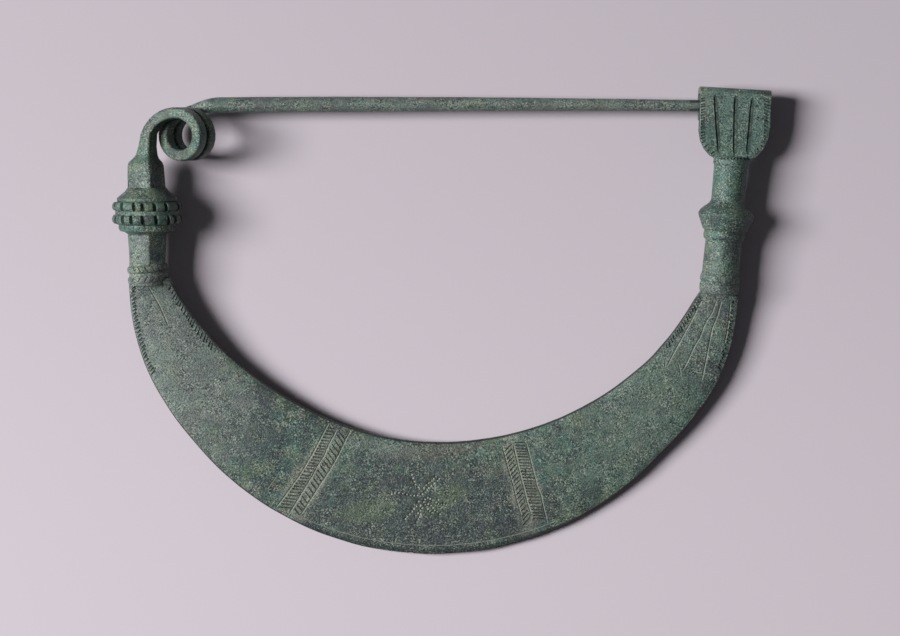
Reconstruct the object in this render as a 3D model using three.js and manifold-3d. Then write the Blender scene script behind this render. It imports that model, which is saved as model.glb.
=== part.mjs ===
// Fibula brooch: an ancient cast and hammered bronze dress pin, made in one piece.
// A flat crescent bow joins two moulded arms. One arm carries the catch plate, which
// folds back into a hook. The other is drawn out into a strap, coiled into the spring,
// and runs on as the pin, whose point lies in the hook.
//
// Millimetres, +Z up. The brooch lies on its back: it rests on the low edge of the bow
// and on the mouldings of both arms. The modelling frame has X along the pin, Y from
// bow to pin, Z out of the front, and its origin at the centre of the bow's outer arc.

import * as THREE from 'three';
import { mergeVertices } from 'three/addons/utils/BufferGeometryUtils.js';
import Module from 'manifold-3d';

const wasm = await Module();
wasm.setup();

// ---- driving dimensions -------------------------------------------------------------

// Bow: the crescent between two arcs, each with a few low swellings left by the hammer
// (degrees round the arc's own centre)
const OUTER_RADIUS = 68;
const OUTER_FROM = 186.4;
const OUTER_TO = 350.9;
const OUTER_SWELLINGS = [
  { at: 183, half: 14, height: -0.8 },
  { at: 204, half: 17, height: 0.55 },
  { at: 336, half: 20, height: 1.6 },
];
const INNER_RADIUS = 66.8;
const INNER_CENTRE = new THREE.Vector2(1.7, 23.65);
const INNER_FROM = 206.9;
const INNER_TO = 329.8;
const INNER_SWELLINGS = [
  { at: 240, half: 24, height: -0.6 },
  { at: 328, half: 16, height: -0.6 },
];
const BOW_STATIONS = 96;
const BOW_FRONT = 1.5;
const BOW_BACK = -1.4;
const BOW_RIM = 0.85;
const BEVEL_WIDTH = 2.3;
const BEVEL_DEPTH = 1.1;
const BEVEL_HALF_SPAN = 48;
const END_SWELL = 0.9;
const END_SWELL_LENGTH = 2.4;
const NICK_AT = 265.8;
const NICK_SIZE = 1.1;

// Arm of the spring, standing on the bow's left end
const SPRING_ARM_X = -62.8;
const COLLAR_RADIUS = 7.7;
const SPRING_ARM_RADIUS = 4.5;

// Arm of the catch, leaning outwards from the bow's right end
const CATCH_ARM_FOOT = new THREE.Vector3(63.05, -9.9, 0);
const CATCH_ARM_TOP = new THREE.Vector3(65.75, 20, 0);
const CATCH_ARM_RADIUS = 4.1;
const CONE_RADIUS = 6.15;

// Strap, spring and pin
const STRAP_TURN = 28.5;
const COIL_CENTRE = new THREE.Vector3(-56.2, 24.9, 3.2);
const COIL_RADIUS = 4.7;
const COIL_STRETCH = 1.05;
const COIL_ENTRY_RADIUS = 6.6;
const COIL_EXIT_RADIUS = 5.15;
const COIL_TURNS = 2.25;
const COIL_PITCH = 3.7;
const STEPS_PER_TURN = 26;
const COIL_HALF_RADIAL = 1.2;
const COIL_HALF_AXIAL = 1.48;
const PIN_HEIGHT = 31.25;
const PIN_RADIUS = 1.7;
const PIN_TIP_RADIUS = 0.35;
const PIN_TIP_X = 72.4;
const PIN_Z_AT_CATCH = -2.7;

// Catch plate and its hook
const PLATE_LEFT = 58.4;
const PLATE_RIGHT = 74.4;
const PLATE_TOP = 35.05;
const PLATE_SLANT = 0.06;
const PLATE_THICKNESS = 1.6;
const HOOK_GAP = 3.6;
const HOOK_WALL = 1.5;
const HOOK_TOP_WALL = 1.8;
const HOOK_LENGTH = 7.4;
const FLUTE_DEPTH = 0.5;
const FLUTES = [
  { foot: new THREE.Vector2(62.9, 20.6), tip: new THREE.Vector2(61.9, 33.6), wide: 0.9 },
  { foot: new THREE.Vector2(66.3, 20.2), tip: new THREE.Vector2(66.5, 33.4), wide: 1.0 },
  { foot: new THREE.Vector2(69.1, 20.4), tip: new THREE.Vector2(70.2, 32.9), wide: 0.9 },
];

// Toothed rings
const TEETH = 17;
const TOOTH_GAP = 1.1;
const TOOTH_DEPTH = 0.75;

// Lying pose: turns that bring the three resting places level
const LEAN_BACK = 4.25;
const LEAN_SIDE = 0.74;

// ---- helpers ------------------------------------------------------------------------

const radians = THREE.MathUtils.degToRad;

// A smooth hump: one at its middle, nothing beyond its half width.
function hump(offset) {
  return Math.abs(offset) < 1 ? Math.cos(offset * Math.PI / 2) ** 2 : 0;
}

function toSolid(geometry) {
  const bare = geometry.index ? geometry.toNonIndexed() : geometry.clone();
  bare.deleteAttribute('normal');
  bare.deleteAttribute('uv');
  const merged = mergeVertices(bare, 1e-4);
  return new wasm.Manifold(new wasm.Mesh({
    numProp: 3,
    vertProperties: new Float32Array(merged.attributes.position.array),
    triVerts: new Uint32Array(merged.index.array),
  }));
}

function toGeometry(solid) {
  const mesh = solid.getMesh();
  const geometry = new THREE.BufferGeometry();
  geometry.setAttribute('position', new THREE.BufferAttribute(mesh.vertProperties, 3));
  geometry.setIndex(new THREE.BufferAttribute(mesh.triVerts, 1));
  geometry.computeVertexNormals();
  return geometry;
}

// A closed skin over sections of equal point counts, listed so that each section turns
// anticlockwise seen from the start; both ends are closed by a fan.
function loft(sections) {
  const count = sections[0].length;
  const points = sections.flat();
  const faces = [];
  for (let s = 0; s < sections.length - 1; s += 1) {
    for (let k = 0; k < count; k += 1) {
      const a = s * count + k;
      const b = s * count + (k + 1) % count;
      faces.push(a, a + count, b, b, a + count, b + count);
    }
  }
  for (const [first, flipped] of [[0, false], [(sections.length - 1) * count, true]]) {
    const middle = new THREE.Vector3();
    for (let k = 0; k < count; k += 1) middle.addScaledVector(points[first + k], 1 / count);
    const centre = points.push(middle) - 1;
    for (let k = 0; k < count; k += 1) {
      const a = first + k;
      const b = first + (k + 1) % count;
      if (flipped) faces.push(centre, b, a);
      else faces.push(centre, a, b);
    }
  }
  const geometry = new THREE.BufferGeometry().setFromPoints(points);
  geometry.setIndex(faces);
  return geometry;
}

// A turned piece round the Y axis from [radius, height] pairs, closed on the axis.
function turned(profile, segments = 32) {
  const low = profile[0][1];
  const high = profile[profile.length - 1][1];
  const points = [[0, low], ...profile, [0, high]];
  return new THREE.LatheGeometry(points.map(([r, y]) => new THREE.Vector2(r, y)), segments);
}

// ---- bow ----------------------------------------------------------------------------

function swollen(radius, swellings, degrees) {
  const rise = swellings.map(({ at, half, height }) => height * hump((degrees - at) / half));
  return rise.reduce((sum, value) => sum + value, radius);
}

function onArc(radius, degrees) {
  const angle = radians(degrees);
  return new THREE.Vector2(Math.cos(angle), Math.sin(angle)).multiplyScalar(radius);
}

// One cross-section of the bow: flat back, low crown, and a bevel along the outer edge.
function bowSection(t) {
  const outerDegrees = THREE.MathUtils.lerp(OUTER_FROM, OUTER_TO, t);
  const innerDegrees = THREE.MathUtils.lerp(INNER_FROM, INNER_TO, t);
  const outer = onArc(swollen(OUTER_RADIUS, OUTER_SWELLINGS, outerDegrees), outerDegrees);
  const inner = onArc(swollen(INNER_RADIUS, INNER_SWELLINGS, innerDegrees), innerDegrees)
    .add(INNER_CENTRE);
  const width = inner.distanceTo(outer);
  const toEnd = Math.min(t, 1 - t) * radians(OUTER_TO - OUTER_FROM) * OUTER_RADIUS;
  const swell = END_SWELL * Math.exp(-((toEnd / END_SWELL_LENGTH) ** 2));
  const low = hump((outerDegrees - 270) / BEVEL_HALF_SPAN);
  const bevel = 0.7 + (BEVEL_WIDTH - 0.7) * low;
  const drop = 0.4 + (BEVEL_DEPTH - 0.4) * low;
  const shoulder = BOW_FRONT - 0.35;
  const profile = [
    [0, -BOW_RIM / 2],
    [0, BOW_RIM / 2 + 0.1],
    [0.5, BOW_FRONT - 0.45],
    [width * 0.22, BOW_FRONT - 0.12 + swell * 0.7],
    [width * 0.5, BOW_FRONT + swell],
    [width * 0.78 - bevel * 0.5, BOW_FRONT - 0.1 + swell * 0.7],
    [width - bevel, shoulder],
    [width, shoulder - drop],
    [width, -BOW_RIM],
    [width - 0.6, BOW_BACK],
    [width * 0.5, BOW_BACK - swell],
    [0.7, BOW_BACK],
  ];
  return profile.map(([along, height]) => {
    const place = inner.clone().lerp(outer, along / width);
    return new THREE.Vector3(place.x, place.y, height);
  });
}

function bow() {
  const sections = [];
  for (let s = BOW_STATIONS; s >= 0; s -= 1) sections.push(bowSection(s / BOW_STATIONS));
  const nick = new THREE.SphereGeometry(NICK_SIZE, 10, 8);
  const place = onArc(OUTER_RADIUS + NICK_SIZE * 0.55, NICK_AT);
  nick.translate(place.x, place.y, 0);
  return toSolid(loft(sections)).subtract(toSolid(nick));
}

// ---- arms ---------------------------------------------------------------------------

// A small ring with a rounded face, tilted to follow the end of the bow.
function bandRing(radius, thickness, centre, tilt) {
  const half = thickness / 2;
  const ring = turned([
    [radius - 0.7, -half],
    [radius, -half * 0.45],
    [radius, half * 0.45],
    [radius - 0.7, half],
  ]);
  ring.rotateZ(radians(tilt));
  ring.translate(centre.x, centre.y, centre.z);
  return toSolid(ring);
}

// Notches cut across a ring at slightly uneven steps, like file cuts.
function toothCuts(radius, y, height) {
  const cuts = [];
  for (let k = 0; k < TEETH; k += 1) {
    const angle = radians(k * 360 / TEETH + 5 * Math.sin(k * 2.4));
    const cut = new THREE.BoxGeometry(TOOTH_GAP, height, TOOTH_DEPTH * 2);
    cut.rotateZ(radians(4 * Math.sin(k * 1.7)));
    cut.translate(0, y, radius);
    cut.rotateY(angle);
    cuts.push(toSolid(cut));
  }
  return cuts;
}

function springArm() {
  const collar = COLLAR_RADIUS;
  const shaft = turned([
    [SPRING_ARM_RADIUS - 0.5, -8.2],
    [SPRING_ARM_RADIUS - 0.5, -3.4],
    [SPRING_ARM_RADIUS - 0.2, -2.8],
    [SPRING_ARM_RADIUS, 2.6],
    [SPRING_ARM_RADIUS + 0.4, 3.4],
    [6.0, 3.7],
    [6.3, 4.4],
    [6.2, 5.0],
    [6.7, 5.3],
    [collar, 5.6],
    [collar, 6.8],
    [7.25, 7.1],
    [7.25, 8.4],
    [collar, 8.7],
    [collar, 9.9],
    [6.3, 10.2],
    [6.6, 10.7],
    [6.3, 11.3],
    [4.9, 12.3],
    [4.2, 13.2],
  ]);
  let arm = toSolid(shaft);
  for (const y of [6.2, 9.3]) {
    for (const cut of toothCuts(collar, y, 2.2)) arm = arm.subtract(cut);
  }
  arm = arm.translate([SPRING_ARM_X, 0, 0]);
  arm = arm.add(bandRing(SPRING_ARM_RADIUS - 0.15, 1.9, new THREE.Vector3(SPRING_ARM_X, -4.6, 0), 6));
  return arm.add(bandRing(SPRING_ARM_RADIUS + 0.2, 2.1, new THREE.Vector3(SPRING_ARM_X + 0.1, -6.7, 0), 10));
}

function catchArm() {
  const length = CATCH_ARM_FOOT.distanceTo(CATCH_ARM_TOP);
  const shaft = turned([
    [CATCH_ARM_RADIUS, -0.4],
    [CATCH_ARM_RADIUS + 0.2, 0.4],
    [CATCH_ARM_RADIUS + 0.3, 1.6],
    [CATCH_ARM_RADIUS, 2.1],
    [CATCH_ARM_RADIUS + 0.3, 2.5],
    [CATCH_ARM_RADIUS + 0.25, 3.6],
    [CATCH_ARM_RADIUS, 4.1],
    [CATCH_ARM_RADIUS - 0.1, 11.4],
    [CATCH_ARM_RADIUS + 0.4, 11.8],
    [CATCH_ARM_RADIUS + 0.5, 12.9],
    [CATCH_ARM_RADIUS + 0.3, 13.4],
    [4.9, 13.8],
    [CONE_RADIUS, 16.7],
    [CONE_RADIUS, 17.3],
    [3.9, 19.6],
    [3.6, 20.3],
    [3.7, 27.8],
    [4.05, 28.3],
    [4.0, 29.4],
    [3.5, length],
  ]);
  const lean = new THREE.Vector3().subVectors(CATCH_ARM_TOP, CATCH_ARM_FOOT).normalize();
  shaft.applyQuaternion(new THREE.Quaternion().setFromUnitVectors(new THREE.Vector3(0, 1, 0), lean));
  shaft.translate(CATCH_ARM_FOOT.x, CATCH_ARM_FOOT.y, CATCH_ARM_FOOT.z);
  return toSolid(shaft);
}

// ---- catch plate and hook -----------------------------------------------------------

function catchOutline() {
  const outline = new THREE.Shape();
  outline.moveTo(PLATE_LEFT + 0.3, PLATE_TOP);
  outline.lineTo(PLATE_LEFT, 25.6);
  outline.quadraticCurveTo(PLATE_LEFT + 0.2, 21.6, 62.3, 19.3);
  outline.lineTo(69.2, 18.9);
  outline.quadraticCurveTo(73.4, 20.6, PLATE_RIGHT - 0.2, 26.4);
  outline.lineTo(PLATE_RIGHT, PLATE_TOP - PLATE_SLANT * (PLATE_RIGHT - PLATE_LEFT));
  outline.closePath();
  return outline;
}

// The hook in side view: over the top of the plate, back, and down behind the pin.
function hookProfile() {
  const depth = PLATE_THICKNESS / 2 + HOOK_GAP + HOOK_WALL;
  const front = -PLATE_THICKNESS / 2;
  const profile = new THREE.Shape();
  profile.moveTo(front + 0.8, -0.9);
  profile.lineTo(front - HOOK_GAP - 0.4, -0.1);
  profile.quadraticCurveTo(-depth, -0.2, -depth, -1.8);
  profile.lineTo(-depth + 0.5, -HOOK_LENGTH);
  profile.lineTo(-depth + 0.5 + HOOK_WALL * 0.8, -HOOK_LENGTH);
  profile.lineTo(front - HOOK_GAP, -HOOK_TOP_WALL - 0.9);
  profile.quadraticCurveTo(front - HOOK_GAP, -HOOK_TOP_WALL, front - HOOK_GAP + 0.9, -HOOK_TOP_WALL);
  profile.lineTo(front - 0.6, -HOOK_TOP_WALL);
  profile.lineTo(front + 0.4, -HOOK_TOP_WALL - 1);
  profile.closePath();
  return profile;
}

// A V-shaped channel cut into the front of the plate from foot to tip, fading at both ends.
function flute(foot, tip, wide) {
  const along = new THREE.Vector2().subVectors(tip, foot);
  const side = new THREE.Vector2(-along.y, along.x).normalize();
  const surface = PLATE_THICKNESS / 2 + 0.3;
  const sections = [0, 0.12, 0.85, 1].map((t, k) => {
    const middle = foot.clone().addScaledVector(along, t);
    const half = k % 3 === 0 ? 0.05 : wide / 2 + 0.3;
    const deep = k % 3 === 0 ? 0.05 : FLUTE_DEPTH + 0.3;
    return [
      new THREE.Vector3(middle.x + side.x * half, middle.y + side.y * half, surface),
      new THREE.Vector3(middle.x, middle.y, surface - deep),
      new THREE.Vector3(middle.x - side.x * half, middle.y - side.y * half, surface),
    ];
  });
  return toSolid(loft(sections));
}

function catchPlate() {
  const half = PLATE_THICKNESS / 2;
  const face = new THREE.ExtrudeGeometry(catchOutline(), {
    depth: PLATE_THICKNESS - 0.6,
    bevelThickness: 0.3,
    bevelSize: 0.3,
    bevelOffset: -0.3,
    bevelSegments: 1,
    curveSegments: 8,
  });
  face.translate(0, 0, -half + 0.3);
  const width = PLATE_RIGHT - PLATE_LEFT - 0.7;
  const hook = new THREE.ExtrudeGeometry(hookProfile(), {
    depth: width,
    bevelEnabled: false,
    curveSegments: 5,
  });
  // the profile's own axes are depth and height; its extrusion runs along the pin
  hook.applyMatrix4(new THREE.Matrix4().makeBasis(
    new THREE.Vector3(0, 0, 1),
    new THREE.Vector3(0, 1, 0),
    new THREE.Vector3(-1, 0, 0),
  ));
  hook.applyMatrix4(new THREE.Matrix4().makeShear(-PLATE_SLANT, 0, 0, 0, 0, 0));
  hook.translate(PLATE_RIGHT - 0.3, PLATE_TOP - PLATE_SLANT * width, 0);
  let plate = toSolid(face).add(toSolid(hook));
  for (const { foot, tip, wide } of FLUTES) plate = plate.subtract(flute(foot, tip, wide));
  return plate;
}

// ---- strap, spring and pin ----------------------------------------------------------

const turn = radians(STRAP_TURN);
const axial = new THREE.Vector3(Math.sin(turn), 0, -Math.cos(turn));
const across = new THREE.Vector3(Math.cos(turn), 0, Math.sin(turn));
const upwards = new THREE.Vector3(0, 1, 0);

// A section of eight sides: a rectangle with cut corners, round when the cut is full.
function strapSection({ centre, outward, depth, halfOut, halfDepth, cut }) {
  const cornerOut = Math.min(cut, halfOut * 0.586);
  const cornerDepth = Math.min(cut, halfDepth * 0.586);
  const corners = [
    [halfOut, halfDepth - cornerDepth],
    [halfOut - cornerOut, halfDepth],
    [cornerOut - halfOut, halfDepth],
    [-halfOut, halfDepth - cornerDepth],
    [-halfOut, cornerDepth - halfDepth],
    [cornerOut - halfOut, -halfDepth],
    [halfOut - cornerOut, -halfDepth],
    [halfOut, cornerDepth - halfDepth],
  ];
  return corners.map(([out, deep]) => centre.clone()
    .addScaledVector(outward, out).addScaledVector(depth, deep));
}

function coilStation(degrees) {
  const angle = radians(degrees);
  const settled = Math.min(degrees / 90, 1);
  const opening = THREE.MathUtils.smoothstep(degrees, 360 * COIL_TURNS - 50, 360 * COIL_TURNS);
  const radius = COIL_RADIUS + (COIL_ENTRY_RADIUS - COIL_RADIUS) * (1 - settled) ** 2
    + (COIL_EXIT_RADIUS - COIL_RADIUS) * opening;
  const outward = across.clone().multiplyScalar(-Math.cos(angle))
    .addScaledVector(upwards, Math.sin(angle));
  const centre = COIL_CENTRE.clone()
    .addScaledVector(across, -Math.cos(angle) * radius * COIL_STRETCH)
    .addScaledVector(upwards, Math.sin(angle) * radius)
    .addScaledVector(axial, COIL_PITCH * degrees / 360);
  return {
    centre,
    outward,
    depth: axial.clone(),
    halfOut: THREE.MathUtils.lerp(1.35, COIL_HALF_RADIAL, settled),
    halfDepth: THREE.MathUtils.lerp(1.7, COIL_HALF_AXIAL, settled),
    cut: 0.35,
  };
}

// Pin radius along its length: it swells past the spring and thins to the point.
function pinRadiusAt(x) {
  const swell = THREE.MathUtils.smoothstep(x, -53, -47);
  const taper = THREE.MathUtils.smoothstep(x, -30, 66);
  const point = THREE.MathUtils.smoothstep(x, 64, PIN_TIP_X);
  const body = THREE.MathUtils.lerp(1.25, PIN_RADIUS, swell) - 0.45 * taper;
  return THREE.MathUtils.lerp(body, PIN_TIP_RADIUS, point);
}

function strapSpringPin() {
  const left = across.clone().negate();
  const stations = [];
  // block and shoulder: height, half widths, corner cut, sideways place
  const steps = [
    [11.8, 3.4, 3.4, 1.1, SPRING_ARM_X],
    [18.6, 3.15, 3.15, 0.9, SPRING_ARM_X - 0.4],
    [20.0, 1.95, 2.1, 0.4, SPRING_ARM_X],
    [22.2, 1.5, 1.8, 0.35, SPRING_ARM_X + 0.2],
  ];
  for (const [y, halfOut, halfDepth, cut, x] of steps) {
    const centre = new THREE.Vector3(x, y, 0);
    stations.push({ centre, outward: left, depth: axial, halfOut, halfDepth, cut });
  }
  const turnSteps = Math.round(COIL_TURNS * STEPS_PER_TURN);
  for (let s = 0; s <= turnSteps; s += 1) stations.push(coilStation(s * 360 / STEPS_PER_TURN));
  // the pin leaves the last turn, bends level and runs to the hook
  const last = stations[stations.length - 1];
  const start = last.centre;
  const leave = new THREE.Vector3(start.x + 7, PIN_HEIGHT, start.z + 1.3);
  const bend = new THREE.CubicBezierCurve3(
    start,
    start.clone().addScaledVector(across, 1.6).addScaledVector(upwards, 0.7),
    leave.clone().add(new THREE.Vector3(-3.5, 0, 0)),
    leave,
  );
  const route = bend.getPoints(7).slice(1);
  const straightSteps = 12;
  for (let s = 1; s <= straightSteps; s += 1) {
    const t = s / straightSteps;
    const x = THREE.MathUtils.lerp(leave.x, PIN_TIP_X, t);
    const bowed = 0.3 * Math.sin(Math.PI * t) - 0.3 * t;
    const z = THREE.MathUtils.lerp(leave.z, PIN_Z_AT_CATCH, t);
    route.push(new THREE.Vector3(x, PIN_HEIGHT + bowed, z));
  }
  route.forEach((centre, k) => {
    const before = k > 0 ? route[k - 1] : start;
    const after = k < route.length - 1 ? route[k + 1] : centre;
    const ahead = new THREE.Vector3().subVectors(after, before).normalize();
    const outward = upwards.clone().addScaledVector(ahead, -upwards.dot(ahead)).normalize();
    const depth = outward.clone().cross(ahead);
    const radius = pinRadiusAt(centre.x);
    stations.push({ centre, outward, depth, halfOut: radius, halfDepth: radius, cut: radius });
  });
  return toSolid(loft(stations.map(strapSection)));
}

// ---- assembly -----------------------------------------------------------------------

const bronze = new THREE.MeshStandardMaterial({
  name: 'patinated_bronze',
  color: 0x4b5b50,
  roughness: 0.62,
  metalness: 0.35,
});

const whole = [springArm(), catchArm(), catchPlate(), strapSpringPin()]
  .reduce((joined, piece) => joined.add(piece), bow());

const fibula = new THREE.Mesh(toGeometry(whole), bronze);
fibula.name = 'fibula';

// the pose is turned first, then shifted so that its box stands centred on the origin
const pose = new THREE.Group();
pose.rotation.set(radians(LEAN_BACK), radians(LEAN_SIDE), 0);
pose.add(fibula);

const brooch = new THREE.Group();
brooch.add(pose);
brooch.updateMatrixWorld(true);
const box = new THREE.Box3().setFromObject(pose, true);
const middle = box.getCenter(new THREE.Vector3());
pose.position.set(-middle.x, -middle.y, -box.min.z);

export default brooch;
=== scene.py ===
"""Fibula brooch: a flat crescent bow, two moulded arms, a coiled spring, a long pin and a catch.

The brooch is modelled in millimetres, upright in its own frame: X runs along the pin, Y from
the bow to the pin, Z out of the front, and the origin is the centre of the bow's outer arc.
The finished mesh is then brought to metres and laid on its back in the frame's place.
"""

import math
import random

import bmesh
import bpy
from bpy.props import FloatProperty, FloatVectorProperty, IntProperty, PointerProperty
from mathutils import Matrix, Vector


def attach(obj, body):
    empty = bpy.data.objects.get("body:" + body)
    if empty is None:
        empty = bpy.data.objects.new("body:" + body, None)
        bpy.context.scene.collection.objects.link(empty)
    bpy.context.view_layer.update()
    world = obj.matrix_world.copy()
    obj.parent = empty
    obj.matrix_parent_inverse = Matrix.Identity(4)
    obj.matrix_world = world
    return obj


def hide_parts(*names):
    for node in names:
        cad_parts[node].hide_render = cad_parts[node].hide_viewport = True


bl_info = {
    "name": "Fibula Brooch",
    "version": (1, 0, 0),
    "blender": (4, 5, 0),
    "location": "3D View > Sidebar > Brooch",
    "description": "Builds a bronze bow brooch with a coiled spring, engraved bands and a dark patina",
    "category": "Object",
}

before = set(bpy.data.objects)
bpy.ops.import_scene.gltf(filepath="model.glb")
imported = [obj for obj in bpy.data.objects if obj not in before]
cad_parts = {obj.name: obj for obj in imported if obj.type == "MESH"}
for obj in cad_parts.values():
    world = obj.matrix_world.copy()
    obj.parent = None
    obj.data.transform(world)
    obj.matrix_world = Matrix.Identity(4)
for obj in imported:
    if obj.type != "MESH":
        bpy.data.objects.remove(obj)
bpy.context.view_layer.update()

PIECE = "fibula_bronze"
MM = 1000.0

# Bow: swellings are (middle in degrees, half width in degrees, height in mm)
OUTER_SPAN = (186.4, 350.9)
OUTER_SWELLINGS = ((183, 14, -0.8), (204, 17, 0.55), (336, 20, 1.6))
INNER_SPAN = (206.9, 329.8)
INNER_CENTRE = Vector((1.7, 23.65))
INNER_SWELLINGS = ((240, 24, -0.6), (328, 16, -0.6))
BOW_STATIONS = 96
END_FLARE = 0.7
END_FLARE_LENGTH = 2.4
# the bow's section: share of the width from the outer edge inwards, and height in mm
BOW_PROFILE = (
    (-1, -0.42), (-1, 0.35), (-0.987, 0.82), (-0.955, 1.1), (-0.78, 1.38), (-0.5, 1.5),
    (-0.24, 1.42), (-0.075, 1.15), (-0.014, 0.95), (0, 0.5), (0, -0.85), (-0.06, -1.4),
    (-0.5, -1.4), (-0.93, -1.4),
)

# Lying pose of the finished brooch: turns in degrees, then the way to the frame's place in mm
LEAN_BACK = 4.25
LEAN_SIDE = 0.74
LYING_PLACE = (-1.9547, 16.2745, 6.4655)


# ---- hands: selecting, turning, extruding -------------------------------------------


def only(obj):
    """Select one object and nothing else."""
    if bpy.context.object and bpy.context.object.mode != "OBJECT":
        bpy.ops.object.mode_set(mode="OBJECT")
    bpy.ops.object.select_all(action="DESELECT")
    obj.select_set(True)
    bpy.context.view_layer.objects.active = obj


def clear_hands():
    """Leave edit mode and deselect everything before a new primitive is added."""
    if bpy.context.object and bpy.context.object.mode != "OBJECT":
        bpy.ops.object.mode_set(mode="OBJECT")
    bpy.ops.object.select_all(action="DESELECT")


def pick(obj, test, kind="verts"):
    """In edit mode, select just the vertices, edges or faces that pass a test."""
    bpy.ops.mesh.select_all(action="DESELECT")
    mesh = bmesh.from_edit_mesh(obj.data)
    chosen = [part for part in getattr(mesh, kind) if test(part)]
    for part in chosen:
        part.select_set(True)
    mesh.select_flush(True)
    bmesh.update_edit_mesh(obj.data)
    return len(chosen)


def turn(angles, centre):
    """Turn what is selected by X, then Y, then Z angles about a centre."""
    for axis, angle in zip("XYZ", angles):
        if abs(angle) > 1e-7:
            bpy.ops.transform.rotate(
                value=-angle, orient_axis=axis, orient_type="GLOBAL", center_override=centre)


class Station:
    """Where a section stands: its place, its own right and up, and its half sizes."""

    def __init__(self, place, right, up, wide=1.0, high=1.0):
        self.place = Vector(place)
        self.right = Vector(right).normalized()
        self.up = (Vector(up) - Vector(up).dot(self.right) * self.right).normalized()
        self.ahead = self.right.cross(self.up)
        self.wide = wide
        self.high = high

    def axes(self):
        return Matrix((self.right, self.up, self.ahead))


ORIGIN = Station((0, 0, 0), (1, 0, 0), (0, 1, 0))


def carry(here, there):
    """Bring the selected section from one station to another."""
    bpy.ops.transform.translate(value=there.place - here.place)
    turn((there.axes().transposed() @ here.axes()).to_euler("XYZ"), there.place)
    stretch = (there.wide / here.wide, there.high / here.high, 1.0)
    if max(abs(s - 1) for s in stretch) > 1e-6:
        bpy.ops.transform.resize(
            value=stretch, orient_type="GLOBAL", orient_matrix=[tuple(row) for row in there.axes()],
            orient_matrix_type="GLOBAL", center_override=there.place)


def run_section(stations):
    """Bring the selected section to the first station and extrude it through the rest."""
    carry(ORIGIN, stations[0])
    for here, there in zip(stations, stations[1:]):
        bpy.ops.mesh.extrude_region_move()
        carry(here, there)


def close_edit(obj):
    """Point every face outwards and go back to object mode."""
    bpy.ops.mesh.select_all(action="SELECT")
    bpy.ops.mesh.normals_make_consistent(inside=False)
    bpy.ops.object.mode_set(mode="OBJECT")
    return obj


def named(name):
    """Name the object just added and open it in edit mode, selected all over."""
    obj = bpy.context.object
    obj.name = name
    obj.data.name = name
    bpy.ops.object.mode_set(mode="EDIT")
    bpy.ops.mesh.select_all(action="SELECT")
    return obj


def flat_section(name, points):
    """A flat face with its corners at the given points, selected, in edit mode."""
    clear_hands()
    bpy.ops.mesh.primitive_circle_add(vertices=len(points), radius=1, fill_type="NGON")
    obj = named(name)
    for index, point in enumerate(points):
        pick(obj, lambda vertex: vertex.index == index)
        corner = bmesh.from_edit_mesh(obj.data).verts[:][index].co
        bpy.ops.transform.translate(value=Vector((*point, 0)) - corner)
    bpy.ops.mesh.select_all(action="SELECT")
    return obj


def turned(name, profile, segments=48):
    """A turned piece round the Y axis from (radius, height) pairs."""
    clear_hands()
    bpy.ops.mesh.primitive_circle_add(vertices=segments, radius=1, fill_type="NGON")
    obj = named(name)
    run_section([Station((0, y, 0), (1, 0, 0), (0, 0, -1), r, r) for r, y in profile])
    return close_edit(obj)


def add_modifier(obj, kind, **settings):
    """Add a modifier, set it and apply it."""
    only(obj)
    bpy.ops.object.modifier_add(type=kind)
    modifier = obj.modifiers[-1]
    for key, value in settings.items():
        setattr(modifier, key, value)
    bpy.ops.object.modifier_apply(modifier=modifier.name)


def soften(obj, width, angle=32, segments=2):
    """Round the sharp edges, as wear and handling do."""
    add_modifier(obj, "BEVEL", width=width, segments=segments, limit_method="ANGLE",
                 angle_limit=math.radians(angle), harden_normals=False)


def combine(obj, other, operation):
    """Add, cut or intersect with another object, which is used up."""
    before = len(obj.data.vertices)
    add_modifier(obj, "BOOLEAN", operation=operation, object=other, solver="MANIFOLD")
    if len(obj.data.vertices) == before:
        raise RuntimeError(f"{other.name} did not combine with {obj.name}")
    only(other)
    bpy.ops.object.delete()


def copy_of(obj, name):
    """A copy with its own mesh."""
    only(obj)
    bpy.ops.object.duplicate(linked=False)
    bpy.context.object.name = name
    return bpy.context.object


def place_object(obj, turns=(0, 0, 0), shift=(0, 0, 0), pivot=(0, 0, 0)):
    """Turn and move a whole object, and put the change into its mesh."""
    only(obj)
    turn([math.radians(angle) for angle in turns], pivot)
    bpy.ops.transform.translate(value=shift)
    bpy.ops.object.transform_apply(location=True, rotation=True, scale=True)


def smooth_step(low, high, value):
    share = min(max((value - low) / (high - low), 0), 1)
    return share * share * (3 - 2 * share)


def blend(low, high, share):
    return low + (high - low) * share


def hump(offset):
    """A smooth hump: one at its middle, nothing beyond its half width."""
    return math.cos(offset * math.pi / 2) ** 2 if abs(offset) < 1 else 0


def swollen(radius, swellings, degrees):
    return radius + sum(h * hump((degrees - at) / half) for at, half, h in swellings)


def on_arc(radius, degrees):
    angle = math.radians(degrees)
    return Vector((math.cos(angle), math.sin(angle))) * radius


def sizes():
    return bpy.context.scene.brooch_sizes


# ---- sizes and colours --------------------------------------------------------------


def length(name, description, millimetres, **more):
    return FloatProperty(name=name, description=description, default=millimetres / MM,
                         min=0, unit="LENGTH", subtype="DISTANCE", precision=5, **more)


def colour(name, description, value):
    return FloatVectorProperty(name=name, description=description, default=value,
                               size=3, min=0, max=1, subtype="COLOR")


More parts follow.
